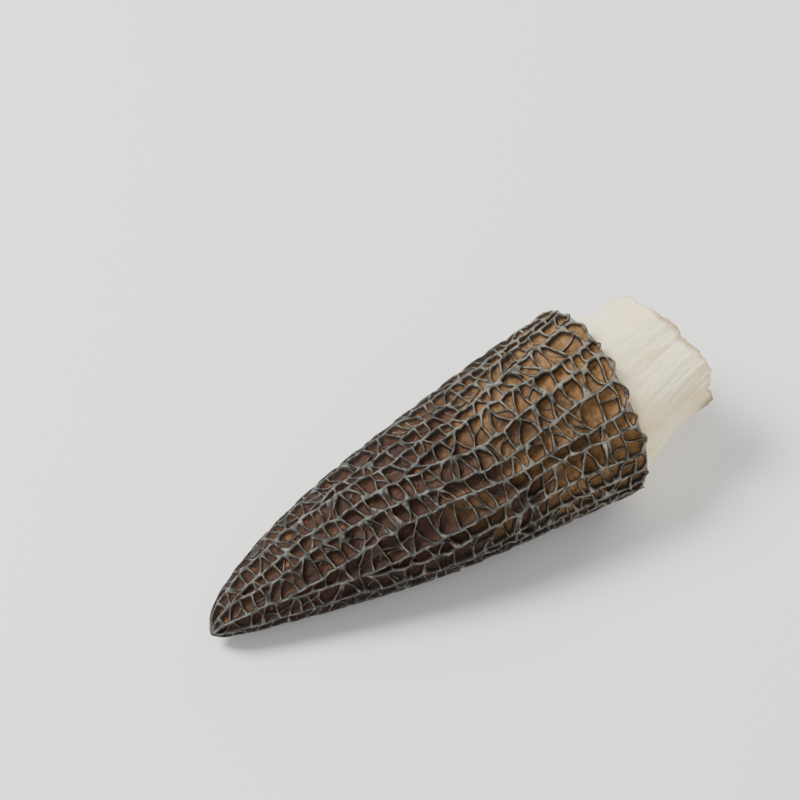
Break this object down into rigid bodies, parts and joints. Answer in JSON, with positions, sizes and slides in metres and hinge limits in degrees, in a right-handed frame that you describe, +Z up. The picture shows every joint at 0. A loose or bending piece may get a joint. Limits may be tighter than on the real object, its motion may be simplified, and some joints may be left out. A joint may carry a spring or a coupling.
{
  "type": "dried morel mushroom",
  "caption": "Whole dried black morel lying on its side: a long, tapered honeycombed cap on a short, pale, hollow cut stem",
  "frame": {"origin": "middle of the mushroom's outline, on the surface it lies on", "axes": "+X runs from the cap's tip to the cut end of the stem, +Z is up from the surface it lies on"},
  "size_m": [0.1148, 0.0438, 0.0361],
  "materials": {
    "cap": "dry, leathery, grey-lipped ridges over brown pits",
    "stem": "dry, matt, fibrous, cream"
  },
  "bodies": {
    "root": {"cap": "cap", "stem": "stem"}
  },
  "joints": []
}
